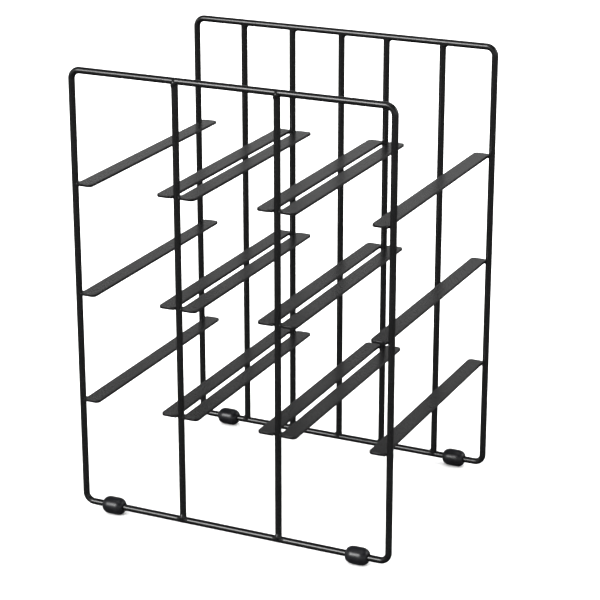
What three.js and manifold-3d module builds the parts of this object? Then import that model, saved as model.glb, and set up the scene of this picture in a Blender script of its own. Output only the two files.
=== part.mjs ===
// Wire bottle rack: a front and a back panel of welded round wire, joined by eighteen flat ledges
// in three tiers, on four rubber sleeves that are pushed over the bottom rails.
// Millimetres, +Z up, floor at z = 0. X runs from left to right and Y from the front to the back.
import * as THREE from "three";
import * as BufferGeometryUtils from "three/addons/utils/BufferGeometryUtils.js";
import Module from "manifold-3d";

const wasm = await Module();
wasm.setup();

// Driving dimensions. Distances between wires are taken between their axes.
const panelWidth = 300;
const panelHeight = 404;
const rackDepth = 232;
const wireDiameter = 6;
const bendRadius = 8;
const leftUprightX = -50;
const rightUprightX = 45; // 5 mm inboard of an even spacing, in both panels
const backStopXs = { left: -100, middle: 0, right: 100 };

const ledgeWidth = 15;
const ledgeThickness = 2.5;
const ledgeOverhang = 4.5; // past the axes of the wires at each end
const ledgeCornerRadius = 4;
const ledgeEdgeRadius = 0.4; // the bar's rolled edges

const footDiameter = 16;
const footLength = 21;
const footRoundedEnd = 7; // the length over which each end of the barrel draws in
const footCentreX = 121;
const boreChamfer = 0.6;

const jointGap = 0.3; // left between the pieces of a joint, where the weld or the press fit is

// Fineness of the round surfaces.
const wireSides = 16;
const bendSteps = 6;
const copeSides = 32;
const ledgeCornerSteps = 4;
const ledgeEdgeSteps = 2;
const footSides = 24;
const footEndSteps = 3;

// Worked out from the dimensions above.
const wireRadius = wireDiameter / 2;
const railHeight = footDiameter / 2;
const tierHeights = {
  bottom: railHeight + panelHeight / 4,
  middle: railHeight + panelHeight / 2,
  top: railHeight + (panelHeight * 3) / 4,
};

const powderCoat = new THREE.MeshStandardMaterial({ color: 0x1d1d1f, roughness: 0.4, metalness: 0.1 });
const rubber = new THREE.MeshStandardMaterial({ color: 0x1b1b1d, roughness: 0.6, metalness: 0 });

function namedMesh(name, geometry, material) {
  const mesh = new THREE.Mesh(geometry, material);
  mesh.name = name;
  return mesh;
}

// A closed geometry as a solid for cutting.
function toSolid(geometry) {
  const bare = geometry.clone();
  bare.deleteAttribute("normal");
  bare.deleteAttribute("uv");
  const merged = BufferGeometryUtils.mergeVertices(bare);
  const vertProperties = Float32Array.from(merged.attributes.position.array);
  const triVerts = Uint32Array.from(merged.index.array);
  return new wasm.Manifold(new wasm.Mesh({ numProp: 3, vertProperties, triVerts }));
}

// The solid's surface back as a geometry.
function toGeometry(solid) {
  const { vertProperties, triVerts } = solid.getMesh();
  const geometry = new THREE.BufferGeometry();
  geometry.setAttribute("position", new THREE.BufferAttribute(vertProperties, 3));
  geometry.setIndex(new THREE.BufferAttribute(triVerts, 1));
  geometry.computeVertexNormals();
  return geometry;
}

// A panel's outline at the wire's axis: a rectangle with round corners, standing on z = 0.
function panelOutline() {
  const right = panelWidth / 2;
  const inner = right - bendRadius;
  const shape = new THREE.Shape();
  shape.absarc(inner, bendRadius, bendRadius, -Math.PI / 2, 0);
  shape.absarc(inner, panelHeight - bendRadius, bendRadius, 0, Math.PI / 2);
  shape.absarc(-inner, panelHeight - bendRadius, bendRadius, Math.PI / 2, Math.PI);
  shape.absarc(-inner, bendRadius, bendRadius, Math.PI, Math.PI * 1.5);
  return shape.getPoints(bendSteps / 2);
}

// A round wire along a closed flat outline. Each ring of points lies in the plane that halves the
// angle between the two straight pieces that meet there, so the wire keeps its thickness.
function wireLoopGeometry(outline) {
  const positions = [];
  outline.forEach((point, i) => {
    const before = outline[(i + outline.length - 1) % outline.length];
    const after = outline[(i + 1) % outline.length];
    const arriving = point.clone().sub(before).normalize();
    const leaving = after.clone().sub(point).normalize();
    const along = arriving.clone().add(leaving).normalize();
    const outward = new THREE.Vector2(along.y, -along.x);
    const stretch = 1 / along.dot(leaving);
    for (let side = 0; side < wireSides; side += 1) {
      const angle = (side / wireSides) * Math.PI * 2;
      const reach = wireRadius * Math.cos(angle) * stretch;
      positions.push(point.x + outward.x * reach, wireRadius * Math.sin(angle), point.y + outward.y * reach);
    }
  });

  const indices = [];
  for (let ring = 0; ring < outline.length; ring += 1) {
    const nextRing = (ring + 1) % outline.length;
    for (let side = 0; side < wireSides; side += 1) {
      const nextSide = (side + 1) % wireSides;
      const a = ring * wireSides + side;
      const b = nextRing * wireSides + side;
      const c = nextRing * wireSides + nextSide;
      const d = ring * wireSides + nextSide;
      indices.push(a, c, b, a, d, c);
    }
  }

  const geometry = new THREE.BufferGeometry();
  geometry.setAttribute("position", new THREE.Float32BufferAttribute(positions, 3));
  geometry.setIndex(indices);
  geometry.computeVertexNormals();
  return geometry;
}

// An upright from rail to rail, its two ends hollowed out to sit round the rails.
function uprightGeometry() {
  const rod = new THREE.CylinderGeometry(wireRadius, wireRadius, panelHeight, wireSides);
  rod.rotateX(Math.PI / 2);
  rod.translate(0, 0, panelHeight / 2);
  let solid = toSolid(rod);
  const copeRadius = wireRadius + jointGap;
  for (const railZ of [0, panelHeight]) {
    const cope = new THREE.CylinderGeometry(copeRadius, copeRadius, wireDiameter * 2, copeSides);
    cope.rotateZ(Math.PI / 2);
    cope.translate(0, 0, railZ);
    solid = solid.subtract(toSolid(cope));
  }
  return toGeometry(solid);
}

// A flat ledge lying front to back, centred on the origin, with rounded corners and edges. The
// outline is drawn inside the edge rounding, which the bevel adds back all round.
function ledgeGeometry() {
  const radius = ledgeCornerRadius - ledgeEdgeRadius;
  const x = ledgeWidth / 2 - ledgeCornerRadius;
  const y = rackDepth / 2 + ledgeOverhang - ledgeCornerRadius;
  const shape = new THREE.Shape();
  shape.absarc(x, -y, radius, -Math.PI / 2, 0);
  shape.absarc(x, y, radius, 0, Math.PI / 2);
  shape.absarc(-x, y, radius, Math.PI / 2, Math.PI);
  shape.absarc(-x, -y, radius, Math.PI, Math.PI * 1.5);
  const geometry = new THREE.ExtrudeGeometry(shape, {
    depth: ledgeThickness - 2 * ledgeEdgeRadius,
    curveSegments: ledgeCornerSteps / 2,
    bevelSize: ledgeEdgeRadius,
    bevelThickness: ledgeEdgeRadius,
    bevelSegments: ledgeEdgeSteps,
  });
  geometry.translate(0, 0, ledgeEdgeRadius - ledgeThickness / 2);
  return geometry;
}

// A rubber sleeve along X: a barrel whose ends draw in along a quarter of an ellipse to the mouth of
// the bore for the rail. The barrel's flats, not its edges, are footDiameter across, and one of them
// faces down for the foot to stand on.
function footGeometry() {
  const boreRadius = wireRadius + jointGap;
  const mouthRadius = boreRadius + boreChamfer;
  const barrelRadius = footDiameter / 2 / Math.cos(Math.PI / footSides);
  const endDepth = barrelRadius - mouthRadius;
  const end = footLength / 2;
  const barrelEnd = end - footRoundedEnd;
  const section = new THREE.Path();
  section.moveTo(boreRadius, end - boreChamfer);
  section.lineTo(boreRadius, -end + boreChamfer);
  section.absellipse(mouthRadius, -barrelEnd, endDepth, footRoundedEnd, -Math.PI / 2, 0);
  section.absellipse(mouthRadius, barrelEnd, endDepth, footRoundedEnd, 0, Math.PI / 2);
  section.closePath();
  const halfSide = Math.PI / footSides;
  const geometry = new THREE.LatheGeometry(section.getPoints(footEndSteps), footSides, halfSide);
  geometry.rotateZ(Math.PI / 2);
  return geometry;
}

// A frame with its uprights, on a plane of its own. uprightXs maps each upright's name to its place.
function makePanel(frameName, uprightXs) {
  const panel = new THREE.Group();
  panel.add(namedMesh(frameName, wireLoopGeometry(panelOutline()), powderCoat));
  for (const [name, x] of Object.entries(uprightXs)) {
    const upright = namedMesh(name, uprightGeometry(), powderCoat);
    upright.position.x = x;
    panel.add(upright);
  }
  return panel;
}

// One tier: a ledge inside each side wire, and one on each side of the two carrying uprights.
function makeTier(tierName) {
  const tier = new THREE.Group();
  const fromWire = wireRadius + jointGap + ledgeWidth / 2;
  const ledgeXs = [
    -panelWidth / 2 + fromWire,
    leftUprightX - fromWire,
    leftUprightX + fromWire,
    rightUprightX - fromWire,
    rightUprightX + fromWire,
    panelWidth / 2 - fromWire,
  ];
  ledgeXs.forEach((x, i) => {
    const ledge = namedMesh(`ledge_${tierName}_${i + 1}`, ledgeGeometry(), powderCoat);
    ledge.position.x = x;
    tier.add(ledge);
  });
  return tier;
}

const rack = new THREE.Group();

const frontPanel = makePanel("front_frame", {
  front_upright_left: leftUprightX,
  front_upright_right: rightUprightX,
});
frontPanel.position.set(0, -rackDepth / 2, railHeight);

const backPanel = makePanel("back_frame", {
  back_stop_left: backStopXs.left,
  back_upright_left: leftUprightX,
  back_stop_middle: backStopXs.middle,
  back_upright_right: rightUprightX,
  back_stop_right: backStopXs.right,
});
backPanel.position.set(0, rackDepth / 2, railHeight);
rack.add(frontPanel, backPanel);

for (const [tierName, height] of Object.entries(tierHeights)) {
  const tier = makeTier(tierName);
  tier.position.z = height;
  rack.add(tier);
}

for (const [place, y] of [["front", -rackDepth / 2], ["back", rackDepth / 2]]) {
  for (const [side, x] of [["left", -footCentreX], ["right", footCentreX]]) {
    const foot = namedMesh(`foot_${place}_${side}`, footGeometry(), rubber);
    foot.position.set(x, y, railHeight);
    rack.add(foot);
  }
}

export default rack;
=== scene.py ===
"""Wire bottle rack: two welded wire panels joined by three tiers of flat ledges, on rubber sleeves.

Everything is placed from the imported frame, in metres, +Z up, with the rack's front towards -Y.
"""

import math
from functools import partial

import bpy
import numpy as np
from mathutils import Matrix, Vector


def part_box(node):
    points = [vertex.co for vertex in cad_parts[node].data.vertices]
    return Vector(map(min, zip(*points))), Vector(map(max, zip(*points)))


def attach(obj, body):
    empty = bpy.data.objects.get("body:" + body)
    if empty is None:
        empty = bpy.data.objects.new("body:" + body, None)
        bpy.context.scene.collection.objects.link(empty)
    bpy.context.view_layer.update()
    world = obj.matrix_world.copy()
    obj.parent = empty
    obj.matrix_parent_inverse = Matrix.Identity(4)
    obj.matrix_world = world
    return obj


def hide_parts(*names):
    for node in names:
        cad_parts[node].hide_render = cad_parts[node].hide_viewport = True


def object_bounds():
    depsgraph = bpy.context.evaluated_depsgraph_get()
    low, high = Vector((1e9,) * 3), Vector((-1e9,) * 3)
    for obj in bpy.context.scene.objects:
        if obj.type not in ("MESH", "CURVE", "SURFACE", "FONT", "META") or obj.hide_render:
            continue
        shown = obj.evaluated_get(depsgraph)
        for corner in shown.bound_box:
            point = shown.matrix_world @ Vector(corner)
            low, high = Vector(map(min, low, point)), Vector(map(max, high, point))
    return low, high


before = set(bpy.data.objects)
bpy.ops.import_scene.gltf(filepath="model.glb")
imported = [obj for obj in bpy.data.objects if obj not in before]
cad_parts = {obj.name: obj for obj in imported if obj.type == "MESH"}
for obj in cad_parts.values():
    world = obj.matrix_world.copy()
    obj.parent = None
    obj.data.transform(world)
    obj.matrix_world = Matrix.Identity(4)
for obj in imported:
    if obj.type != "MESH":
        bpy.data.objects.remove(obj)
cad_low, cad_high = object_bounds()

MM = 0.001

# Measured on the frame. The wires' places are those of their axes.
front_low, front_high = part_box("front_frame")
back_low, back_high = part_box("back_frame")
WIRE_RADIUS = (front_high.y - front_low.y) / 2
SIDE_X = front_high.x - WIRE_RADIUS
RAIL_BOTTOM = front_low.z + WIRE_RADIUS
RAIL_TOP = front_high.z - WIRE_RADIUS
FRONT_Y = (front_low.y + front_high.y) / 2
BACK_Y = (back_low.y + back_high.y) / 2
TIERS = ("bottom", "middle", "top")
LEDGES_PER_TIER = 6
UPRIGHTS = {
    "front": ("front_upright_left", "front_upright_right"),
    "back": (
        "back_stop_left",
        "back_upright_left",
        "back_stop_middle",
        "back_upright_right",
        "back_stop_right",
    ),
}
FEET = ("foot_front_left", "foot_front_right", "foot_back_left", "foot_back_right")

# Sizes the boxes don't show, as in the part's source.
BEND_RADIUS = 8 * MM
LEDGE_CORNER_RADIUS = 4 * MM
LEDGE_EDGE_RADIUS = 0.4 * MM
FOOT_ROUNDED_END = 7 * MM

# Where a foot's mouth meets the rail: its radius, and the lip inside it, as how far each point of the
# lip lies in from the foot's end and out from the wire.
FOOT_MOUTH_RADIUS = 3.4 * MM
FOOT_LIP = ((3 * MM, 0), (0.8 * MM, 0), (0.45 * MM, 0.1 * MM), (0.1 * MM, 0.1 * MM))

# Narrow rings beside a flat face, which keep the shading of the round part off it.
WIRE_CAP_RING = 1 * MM
LEDGE_FACE_RING = 0.3 * MM

# Fineness of the meshes.
WIRE_SIDES = 40
BEND_STEPS = 16
CORNER_STEPS = 10
EDGE_STEPS = 5
FOOT_SIDES = 72
FOOT_END_STEPS = 16
WELD_STEP = 0.33 * MM

# The ripples that a weld sets with: three crossed waves that repeat nowhere on the rack.
RIPPLE_LENGTH = 2.1 * MM
RIPPLE_WAVES = np.array(((0.93, 0.21, 0.30), (-0.27, 0.88, 0.39), (0.19, -0.41, 0.89)))

# A weld's solid stands proud of the pieces it joins and sinks into them towards its limit. The sinking
# starts and ends at these shares of its reach.
WELD_PROUD = 0.01 * MM
WELD_SINK = 0.12 * MM
SINK_START, SINK_END = 0.55, 0.95
WELD_STUB = 30 * MM # the length of wire that a weld's shape takes in, each way

# The weld of an upright to a rail: the middle of its solid, forward of the axes and inward along the
# upright, and how far the solid reaches from there.
PANEL_WELD_FORWARD = 1.5 * MM
PANEL_WELD_INWARD = 2 * MM
PANEL_WELD_REACH = 7.5 * MM

# The weld of a ledge to a wire. The ledge is taken to reach a little way into the wire.
LEDGE_WELD_OVERLAP = 0.1 * MM
LEDGE_WELD_FILLET = 1.1 * MM
LEDGE_WELD_REACH = 4.6 * MM

# The beads of weld metal at an upright's ends, in millimetres: the centre, measured to the right,
# forward and inward along the upright from the crossing of the axes, the half sizes the same way, the
# height of the ripples, and how softly the bead runs into the wires.
BEADS = {
    "front": {
        "top": [
            ((0.3, 1.6, 1.6), (2.1, 2.6, 3.0), 0, 0.6),
            ((-1.4, 1.7, 3.9), (1.6, 1.6, 1.7), 0.05, 0.9),
        ],
        "bottom": [
            ((0.2, 1.7, 0.9), (3.4, 1.7, 2.3), 0.1, 1.7),
            ((0.0, 3.0, 2.7), (1.9, 1.3, 1.8), 0, 0.8),
            ((0.0, 2.3, 4.2), (1.8, 1.3, 1.8), 0, 0.8),
        ],
    },
    "back": {
        "top": [((2.6, 0.3, 2.8), (1.7, 1.9, 1.6), 0.05, 1.4)],
        "bottom": [((-2.6, 0.3, 2.8), (1.7, 1.9, 1.6), 0.05, 1.4)],
    },
}

# The studio's light by height, from straight down at 0 through eye level at 0.5 to straight up at 1.
WORLD_LEVELS = (
    (0.0, 0.05),
    (0.20, 0.07),
    (0.34, 0.17),
    (0.48, 0.17),
    (0.50, 0.95),
    (0.55, 0.80),
    (0.62, 0.45),
    (0.70, 0.41),
    (0.80, 0.06),
    (0.955, 0.05),
    (0.98, 1.0),
)

# The camera: where it looks from, and how far it stands off that line, so as to frame the rack.
CAMERA_AZIMUTH = 25.0
CAMERA_ELEVATION = 19.6
CAMERA_DISTANCE = 1.921
CAMERA_ASIDE = 10.7 * MM
CAMERA_RAISED = -21.0 * MM
CAMERA_LENS = 127.3


# ---------------------------------------------------------------- meshes

def mesh_object(name, vertices, faces, material):
    """A new smooth-shaded mesh object, in the frame's own axes."""
    mesh = bpy.data.meshes.new(name)
    mesh.from_pydata([tuple(v) for v in vertices], [], [tuple(f) for f in faces])
    mesh.validate()
    mesh.update()
    mesh.polygons.foreach_set("use_smooth", [True] * len(mesh.polygons))
    mesh.materials.append(material)
    piece = bpy.data.objects.new(name, mesh)
    bpy.context.scene.collection.objects.link(piece)
    return piece


def add_piece(piece, slot, *nodes):
    """Puts a piece on the rack, in place of the CAD nodes it stands for."""
    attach(piece, "root")
    if nodes:
        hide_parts(*nodes)


def ring_faces(rings, sides, closed):
    """Quads between each ring of points and the next, and round from the last to the first if closed."""
    faces = []
    for ring in range(rings if closed else rings - 1):
        here = ring * sides
        there = (ring + 1) % rings * sides
        for side in range(sides):
            turn = (side + 1) % sides
            faces.append((here + side, there + side, there + turn, here + turn))
    return faces


def capped_faces(rings, sides):
    """The faces of a solid made of rings from its lower to its upper end, anticlockwise from above."""
    faces = [face[::-1] for face in ring_faces(rings, sides, False)]
    faces.append(tuple(range(sides))[::-1])
    faces.append(tuple(range(sides * (rings - 1), sides * rings)))
    return faces


def rounded_outline(half_x, low, high, radius, steps):
    """A rectangle with round corners, anticlockwise, as (x, v) points and the direction out of each."""
    corners = (
        (half_x - radius, low + radius, -90),
        (half_x - radius, high - radius, 0),
        (-half_x + radius, high - radius, 90),
        (-half_x + radius, low + radius, 180),
    )
    points = []
    for centre_x, centre_v, start in corners:
        for step in range(steps + 1):
            angle = math.radians(start + 90 * step / steps)
            out = (math.cos(angle), math.sin(angle))
            points.append((centre_x + radius * out[0], centre_v + radius * out[1], out))
    return points


def frame_wire(name, y, material):
    """The closed loop of round wire of one panel."""
    outline = rounded_outline(SIDE_X, RAIL_BOTTOM, RAIL_TOP, BEND_RADIUS, BEND_STEPS)
    vertices = []
    for x, z, out in outline:
        for side in range(WIRE_SIDES):
            angle = math.tau * side / WIRE_SIDES
            reach = WIRE_RADIUS * math.cos(angle)
            vertices.append((x + out[0] * reach, y + WIRE_RADIUS * math.sin(angle), z + out[1] * reach))
    return mesh_object(name, vertices, ring_faces(len(outline), WIRE_SIDES, True), material)


def upright_wire(name, x, y, material):
    """A straight wire whose ends are buried in the rails."""
    heights = (RAIL_BOTTOM, RAIL_BOTTOM + WIRE_CAP_RING, RAIL_TOP - WIRE_CAP_RING, RAIL_TOP)
    vertices = []
    for z in heights:
        for side in range(WIRE_SIDES):
            angle = math.tau * side / WIRE_SIDES
            vertices.append((x + WIRE_RADIUS * math.cos(angle), y + WIRE_RADIUS * math.sin(angle), z))
    return mesh_object(name, vertices, capped_faces(len(heights), WIRE_SIDES), material)


def ledge_bar(name, low, high, material):
    """A flat bar with rolled edges: rings of its outline, drawn in towards the top and bottom faces."""
    centre = (low + high) / 2
    half = (high - low) / 2
    radius = LEDGE_EDGE_RADIUS
    levels = []
    for step in range(EDGE_STEPS + 1):
        angle = math.radians(90 * step / EDGE_STEPS)
        levels.append((radius * (1 - math.cos(angle)), half.z - radius + radius * math.sin(angle)))
    levels.append((radius + LEDGE_FACE_RING, half.z))
    levels = [(inset, -height) for inset, height in levels[::-1]] + levels
    vertices = []
    for inset, height in levels:
        end = half.y - inset
        outline = rounded_outline(half.x - inset, -end, end, LEDGE_CORNER_RADIUS - inset, CORNER_STEPS)
        vertices += [(centre.x + x, centre.y + y, centre.z + height) for x, y, _ in outline]
    return mesh_object(name, vertices, capped_faces(len(levels), len(vertices) // len(levels)), material)


def foot_sleeve(name, low, high, material):
    """A rubber barrel round the rail. Its ends draw in along an ellipse to a small lip at the bore."""
    centre = (low + high) / 2
    half = (high.x - low.x) / 2
    radius = (high.z - low.z) / 2
    shoulder = half - FOOT_ROUNDED_END
    depth = radius - FOOT_MOUTH_RADIUS
    profile = [(half - inward, WIRE_RADIUS + outward) for inward, outward in FOOT_LIP]
    for step in range(FOOT_END_STEPS + 1):
        angle = math.radians(90 * step / FOOT_END_STEPS)
        along = shoulder + FOOT_ROUNDED_END * math.cos(angle)
        profile.append((along, FOOT_MOUTH_RADIUS + depth * math.sin(angle)))
    profile += [(-x, r) for x, r in profile[::-1]]
    vertices = []
    for x, r in profile:
        for side in range(FOOT_SIDES):
            angle = math.tau * side / FOOT_SIDES
            across = r * math.cos(angle)
            upward = r * math.sin(angle)
            vertices.append((centre.x + x, centre.y + across, centre.z + upward))
    return mesh_object(name, vertices, ring_faces(len(profile), FOOT_SIDES, True), material)


# ---------------------------------------------------------------- welds

def wire_distance(points, start, end):
    """Distance from each point to a straight round wire."""
    start, end = np.array(start), np.array(end)
    along = end - start
    share = np.clip((points - start) @ along / (along @ along), 0, 1)
    return np.linalg.norm(points - start - share[:, None] * along, axis=1) - WIRE_RADIUS


def bar_distance(points, low, high):
    """Distance from each point to a flat bar with rolled edges."""
    centre = (np.array(low) + np.array(high)) / 2
    half = (np.array(high) - np.array(low)) / 2 - LEDGE_EDGE_RADIUS
    beyond = np.abs(points - centre) - half
    outside = np.linalg.norm(np.maximum(beyond, 0), axis=1)
    return outside + np.minimum(beyond.max(axis=1), 0) - LEDGE_EDGE_RADIUS


def bead_distance(points, centre, size, ripple):
    """Distance from each point to a bead, nearly: an ellipsoid with ripples of a given height."""
    scaled = (points - np.array(centre)) / np.array(size)
    waves = np.sin(points @ RIPPLE_WAVES.T * (math.tau / RIPPLE_LENGTH)).prod(axis=1)
    return (np.linalg.norm(scaled, axis=1) - 1) * min(size) + ripple * waves


def merged(first, second, fillet):
    """Two distances as one, with a hollow fillet where the shapes meet."""
    blend = np.maximum(fillet - np.abs(first - second), 0) / fillet
    return np.minimum(first, second) - blend * blend * fillet / 4


def net_faces(inside, index):
    """The quads of a surface net, one round each grid edge that crosses the surface."""
    faces = []
    for axis in range(3):
        others = [a for a in range(3) if a != axis]
        here = np.moveaxis(inside, (axis, *others), (0, 1, 2))
        cells = np.moveaxis(index, (axis, *others), (0, 1, 2))
        low, high = here[:-1, 1:-1, 1:-1], here[1:, 1:-1, 1:-1]
        for crossing, flipped in ((low & ~high, False), (~low & high, True)):
            i, j, k = np.nonzero(crossing)
            around = [cells[i, j, k], cells[i, j + 1, k], cells[i, j + 1, k + 1], cells[i, j, k + 1]]
            quad = np.stack(around, 1)
            if flipped != (axis == 1):
                quad = quad[:, ::-1]
            faces += quad.tolist()
    return faces


def surface_net(distance, centre, reach):
    """The closed surface where distance is zero, inside a cube round centre, as vertices and quads.
    Each cell of the grid that the surface passes through gets a vertex, in the middle of the points
    where the surface crosses the cell's edges."""
    count = int(2 * reach / WELD_STEP) + 3
    start = np.array(centre) - WELD_STEP * (count - 1) / 2
    grid = np.stack(np.meshgrid(*[np.arange(count)] * 3, indexing="ij"), -1)
    values = distance((start + grid * WELD_STEP).reshape(-1, 3)).reshape(count, count, count)
    inside = values < 0
    cells = (count - 1,) * 3
    total = np.zeros(cells + (3,))
    crossings = np.zeros(cells)
    corners = [np.array((a, b, c)) for a in (0, 1) for b in (0, 1) for c in (0, 1)]
    for one in corners:
        for other in corners:
            if (other - one).sum() != 1 or (other - one).min() < 0:
                continue
            value_one = values[tuple(slice(o, o + count - 1) for o in one)]
            value_other = values[tuple(slice(o, o + count - 1) for o in other)]
            crossed = (value_one < 0) != (value_other < 0)
            share = np.where(crossed, value_one / np.where(crossed, value_one - value_other, 1), 0)
            place = one + share[..., None] * (other - one)
            total += np.where(crossed[..., None], place, 0)
            crossings += crossed
    used = crossings > 0
    index = np.full(cells, -1)
    index[used] = np.arange(used.sum())
    base = np.stack(np.meshgrid(*[np.arange(count - 1)] * 3, indexing="ij"), -1)
    vertices = start + WELD_STEP * (base[used] + total[used] / crossings[used][:, None])
    for _ in range(2):
        vertices = onto_surface(distance, vertices)
    return vertices, net_faces(inside, index)


def onto_surface(distance, vertices):
    """Moves each vertex along the slope of distance to where it is zero."""
    nudge = 0.02 * MM
    least_steepness = 0.25 # so that no vertex leaps away where the slope is slight
    slopes = []
    for axis in np.eye(3):
        rise = distance(vertices + nudge * axis) - distance(vertices - nudge * axis)
        slopes.append(rise / (2 * nudge))
    slope = np.stack(slopes, 1)
    steepness = np.maximum((slope * slope).sum(1), least_steepness)
    return vertices - (distance(vertices) / steepness)[:, None] * slope


def weld_surface(shapes, fillet, beads, centre, reach):
    """One weld as a small closed solid: the pieces it joins and its beads, as far as reach. It stands
    a hair proud of the pieces near its middle and sinks into them at its limit, so no border shows."""
    centre = np.array(centre)

    def distance(points):
        joined = shapes[0](points)
        for shape in shapes[1:]:
            other = shape(points)
            joined = merged(joined, other, fillet) if fillet else np.minimum(joined, other)
        for place, size, ripple, softness in beads:
            joined = merged(joined, bead_distance(points, place, size, ripple), softness)
        away = np.linalg.norm(points - centre, axis=1)
        sink = np.clip((away / reach - SINK_START) / (SINK_END - SINK_START), 0, 1)
        joined = joined - WELD_PROUD + sink * sink * (3 - 2 * sink) * WELD_SINK
        return np.maximum(joined, away - reach)

    return surface_net(distance, centre, reach)


def join_meshes(parts):
    """Several (vertices, faces) as one."""
    vertices, faces = [], []
    for part_vertices, part_faces in parts:
        offset = len(vertices)
        vertices += part_vertices.tolist()
        faces += [[offset + v for v in face] for face in part_faces]
    return vertices, faces


def panel_weld(x, y, rail_z, inward, beads):
    """The weld of one upright's end to a rail. Inward is 1 at the bottom rail and -1 at the top rail."""
    rail = partial(wire_distance, start=(x - WELD_STUB, y, rail_z), end=(x + WELD_STUB, y, rail_z))
    upright = partial(wire_distance, start=(x, y, rail_z), end=(x, y, rail_z + inward * WELD_STUB))
    drops = []
    for (right, forward, along), size, ripple, softness in beads:
        place = (x + right * MM, y - forward * MM, rail_z + inward * along * MM)
        drops.append((place, [s * MM for s in size], ripple * MM, softness * MM))
    middle = (x, y - PANEL_WELD_FORWARD, rail_z + inward * PANEL_WELD_INWARD)
    return weld_surface((rail, upright), 0, drops, middle, PANEL_WELD_REACH)


def ledge_weld(wire_x, wire_y, low, high):
    """The weld between a ledge's long edge and a wire: a small hollow fillet all round the contact."""
    z = (low.z + high.z) / 2
    near_low = Vector(low)
    near_high = Vector(high)
    side = 1 if low.x > wire_x else -1
    if side > 0:
        near_low.x = wire_x + WIRE_RADIUS - LEDGE_WELD_OVERLAP
    else:
        near_high.x = wire_x - WIRE_RADIUS + LEDGE_WELD_OVERLAP
    below = (wire_x, wire_y, z - WELD_STUB)
    above = (wire_x, wire_y, z + WELD_STUB)
    wire = partial(wire_distance, start=below, end=above)
    bar = partial(bar_distance, low=near_low, high=near_high)
    place = (wire_x + side * WIRE_RADIUS, wire_y, z)
    return weld_surface((wire, bar), LEDGE_WELD_FILLET, [], place, LEDGE_WELD_REACH)


# ---------------------------------------------------------------- materials

def new_material(name):
    """A material with its nodes, its links and its shader."""
    material = bpy.data.materials.new(name)
    material.use_nodes = True
    nodes = material.node_tree.nodes
    return material, nodes, material.node_tree.links, nodes["Principled BSDF"]


def noise(nodes, links, coordinates, scale, detail):
    """Cloudy noise, with about scale patches to the metre."""
    texture = nodes.new("ShaderNodeTexNoise")
    texture.inputs["Scale"].default_value = scale
    texture.inputs["Detail"].default_value = detail
    links.new(coordinates, texture.inputs["Vector"])
    return texture.outputs["Fac"]


def remap(nodes, links, value, low, high):
    """value, from about 0.3 to 0.7, spread over low to high."""
    node = nodes.new("ShaderNodeMapRange")
    node.inputs["From Min"].default_value = 0.3
    node.inputs["From Max"].default_value = 0.7
    node.inputs["To Min"].default_value = low
    node.inputs["To Max"].default_value = high
    links.new(value, node.inputs["Value"])
    return node.outputs["Result"]


def two_tone(nodes, links, noisy, dark, light):
    """A colour that drifts between dark and light with the noise."""
    value = remap(nodes, links, noisy, 0, 1)
    node = nodes.new("ShaderNodeMix")
    node.data_type = "RGBA"
    node.inputs["A"].default_value = (*dark, 1)
    node.inputs["B"].default_value = (*light, 1)
    links.new(value, node.inputs["Factor"])
    return node.outputs["Result"]


def bumped(nodes, links, height, distance, strength, normal=None):
    """The normal that height gives, on top of another one if it is given."""
    node = nodes.new("ShaderNodeBump")
    node.inputs["Distance"].default_value = distance
    node.inputs["Strength"].default_value = strength
    links.new(height, node.inputs["Height"])
    if normal is not None:
        links.new(normal, node.inputs["Normal"])
    return node.outputs["Normal"]


def powder_coat(name, peel_height):
    """Satin black powder coat: orange peel about 1.5 mm across, with a finer grain on it."""
    material, nodes, links, shader = new_material(name)
    place = nodes.new("ShaderNodeTexCoord").outputs["Object"]
    peel = noise(nodes, links, place, 620, 2)
    grain = noise(nodes, links, place, 3600, 3)
    tone = noise(nodes, links, place, 45, 3)
    colour = two_tone(nodes, links, tone, (0.002, 0.002, 0.0021), (0.0035, 0.0035, 0.0037))
    links.new(colour, shader.inputs["Base Color"])
    links.new(remap(nodes, links, grain, 0.22, 0.30), shader.inputs["Roughness"])
    shader.inputs["IOR"].default_value = 1.5
    coarse = bumped(nodes, links, peel, peel_height, 0.5)
    fine = bumped(nodes, links, grain, 0.015 * MM, 0.4, coarse)
    links.new(fine, shader.inputs["Normal"])
    return material


def moulded_rubber():
    """Matt black rubber with a fine moulded grain."""
    material, nodes, links, shader = new_material("black_rubber")
    place = nodes.new("ShaderNodeTexCoord").outputs["Object"]
    grain = noise(nodes, links, place, 1500, 3)
    tone = noise(nodes, links, place, 160, 4)
    colour = two_tone(nodes, links, tone, (0.003, 0.003, 0.0038), (0.0055, 0.0055, 0.0068))
    links.new(colour, shader.inputs["Base Color"])
    links.new(remap(nodes, links, tone, 0.29, 0.37), shader.inputs["Roughness"])
    shader.inputs["IOR"].default_value = 1.45
    links.new(bumped(nodes, links, grain, 0.04 * MM, 0.5), shader.inputs["Normal"])
    return material


def floor_paint():
    """Matt, nearly white paint."""
    material, nodes, links, shader = new_material("pale_floor")
    place = nodes.new("ShaderNodeTexCoord").outputs["Object"]
    tone = noise(nodes, links, place, 3, 3)
    colour = two_tone(nodes, links, tone, (0.87, 0.87, 0.87), (0.89, 0.89, 0.89))
    links.new(colour, shader.inputs["Base Color"])
    shader.inputs["Roughness"].default_value = 0.75
    shader.inputs["IOR"].default_value = 1.2
    return material


# ---------------------------------------------------------------- the rack

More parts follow.
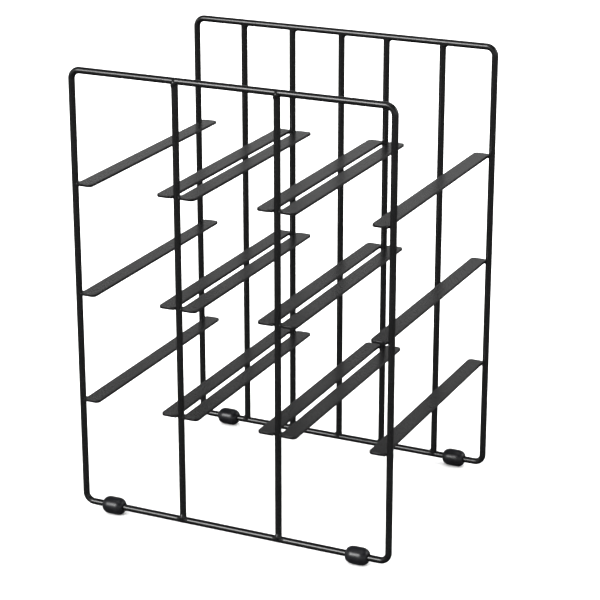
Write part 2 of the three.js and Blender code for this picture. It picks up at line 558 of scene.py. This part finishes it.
def build_panel(place, y, coat):
    """One panel's frame and uprights, and their welds."""
    node = f"{place}_frame"
    add_piece(frame_wire(f"{node}_wire", y, coat), "powder_coated_steel", node)
    welds = []
    for node in UPRIGHTS[place]:
        low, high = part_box(node)
        x = (low.x + high.x) / 2
        add_piece(upright_wire(f"{node}_wire", x, y, coat), "powder_coated_steel", node)
        welds.append(panel_weld(x, y, RAIL_BOTTOM, 1, BEADS[place]["bottom"]))
        welds.append(panel_weld(x, y, RAIL_TOP, -1, BEADS[place]["top"]))
    vertices, faces = join_meshes(welds)
    add_piece(mesh_object(f"{place}_panel_welds", vertices, faces, coat), "powder_coated_steel")


def nearest_wire(x):
    """The x of the wire that a ledge at x is welded to."""
    wires = [-SIDE_X, SIDE_X]
    for node in UPRIGHTS["front"]:
        low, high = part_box(node)
        wires.append((low.x + high.x) / 2)
    return min(wires, key=lambda wire: abs(wire - x))


def build_tier(tier, bar_coat, weld_coat):
    """Six ledges and their welds to the front and back wires."""
    welds = []
    for number in range(1, LEDGES_PER_TIER + 1):
        node = f"ledge_{tier}_{number}"
        low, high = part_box(node)
        wire_x = nearest_wire((low.x + high.x) / 2)
        add_piece(ledge_bar(f"{node}_bar", low, high, bar_coat), "powder_coated_steel", node)
        for y in (FRONT_Y, BACK_Y):
            welds.append(ledge_weld(wire_x, y, low, high))
    vertices, faces = join_meshes(welds)
    add_piece(mesh_object(f"{tier}_ledge_welds", vertices, faces, weld_coat), "powder_coated_steel")


def build_rack():
    """Every piece of the rack. The coat lies a little rougher on the flat bars than on the wire."""
    wire_coat = powder_coat("satin_black_powder_coat_on_wire", 0.1 * MM)
    bar_coat = powder_coat("satin_black_powder_coat_on_bar", 0.22 * MM)
    rubber = moulded_rubber()
    build_panel("front", FRONT_Y, wire_coat)
    build_panel("back", BACK_Y, wire_coat)
    for tier in TIERS:
        build_tier(tier, bar_coat, wire_coat)
    for node in FEET:
        add_piece(foot_sleeve(f"{node}_sleeve", *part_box(node), rubber), "rubber", node)


# ---------------------------------------------------------------- studio

def add_floor():
    """A pale floor. Gloss on the rack doesn't see it: it sees the dark lower half of the studio."""
    bpy.ops.mesh.primitive_circle_add(vertices=96, radius=60, fill_type="NGON")
    floor = bpy.context.object
    floor.name = "floor"
    floor.data.materials.append(floor_paint())
    floor.visible_glossy = False


def add_softbox(name, place, target, width, height, power):
    """A rectangular lamp aimed at target."""
    light = bpy.data.lights.new(name, "AREA")
    light.shape = "RECTANGLE"
    light.size = width
    light.size_y = height
    light.energy = power
    lamp = bpy.data.objects.new(name, light)
    lamp.location = place
    lamp.rotation_euler = (Vector(target) - Vector(place)).to_track_quat("-Z", "Y").to_euler()
    lamp.visible_camera = False
    bpy.context.scene.collection.objects.link(lamp)


def add_soft_sky(strength):
    """Wide soft light straight down, the same all over the floor. Gloss doesn't see it."""
    light = bpy.data.lights.new("soft_sky", "SUN")
    light.energy = strength
    light.angle = math.radians(130)
    lamp = bpy.data.objects.new("soft_sky", light)
    lamp.visible_glossy = False
    bpy.context.scene.collection.objects.link(lamp)


def studio_world():
    """A room, white all round at eye level and dark above and below, but for a pale ceiling panel."""
    world = bpy.data.worlds.new("studio")
    world.use_nodes = True
    nodes, links = world.node_tree.nodes, world.node_tree.links
    direction = nodes.new("ShaderNodeTexCoord").outputs["Generated"]
    split = nodes.new("ShaderNodeSeparateXYZ")
    links.new(direction, split.inputs["Vector"])
    ramp = nodes.new("ShaderNodeValToRGB")
    ramp.color_ramp.interpolation = "EASE"
    for number, (place, level) in enumerate(WORLD_LEVELS):
        if number < 2:
            stop = ramp.color_ramp.elements[number]
            stop.position = place
        else:
            stop = ramp.color_ramp.elements.new(place)
        stop.color = (level, level, level, 1)
    height = nodes.new("ShaderNodeMapRange")
    height.inputs["From Min"].default_value = -1
    height.inputs["From Max"].default_value = 1
    links.new(split.outputs["Z"], height.inputs["Value"])
    links.new(height.outputs["Result"], ramp.inputs["Fac"])
    links.new(ramp.outputs["Color"], nodes["Background"].inputs["Color"])
    bpy.context.scene.world = world


def light_studio():
    """A softbox at the front left, a weaker one at the back right, and wide soft light from above."""
    studio_world()
    centre = (cad_low + cad_high) / 2
    add_softbox("front_softbox", (-1.85, -4.08, 2.42), centre, width=1.8, height=2.1, power=222)
    add_softbox("back_softbox", (3.4, 1.9, 2.3), centre, width=1.8, height=1.8, power=38)
    add_soft_sky(7.0)


def add_camera():
    """A camera to the right of the front and a little above, looking down at the rack."""
    azimuth = math.radians(CAMERA_AZIMUTH)
    elevation = math.radians(CAMERA_ELEVATION)
    level = math.cos(elevation)
    back = Vector((math.sin(azimuth) * level, -math.cos(azimuth) * level, math.sin(elevation)))
    right = Vector((math.cos(azimuth), math.sin(azimuth), 0))
    up = back.cross(right)
    middle = Vector((0, (FRONT_Y + BACK_Y) / 2, (RAIL_BOTTOM + RAIL_TOP) / 2))
    data = bpy.data.cameras.new("camera")
    data.sensor_width = 36
    data.lens = CAMERA_LENS
    data.clip_start = 0.05
    camera = bpy.data.objects.new("camera", data)
    camera.location = middle + back * CAMERA_DISTANCE + right * CAMERA_ASIDE + up * CAMERA_RAISED
    camera.rotation_euler = (-back).to_track_quat("-Z", "Y").to_euler()
    bpy.context.scene.collection.objects.link(camera)
    bpy.context.scene.camera = camera


add_camera()
light_studio()
add_floor()
build_rack()
bpy.context.scene.view_settings.view_transform = "Standard"
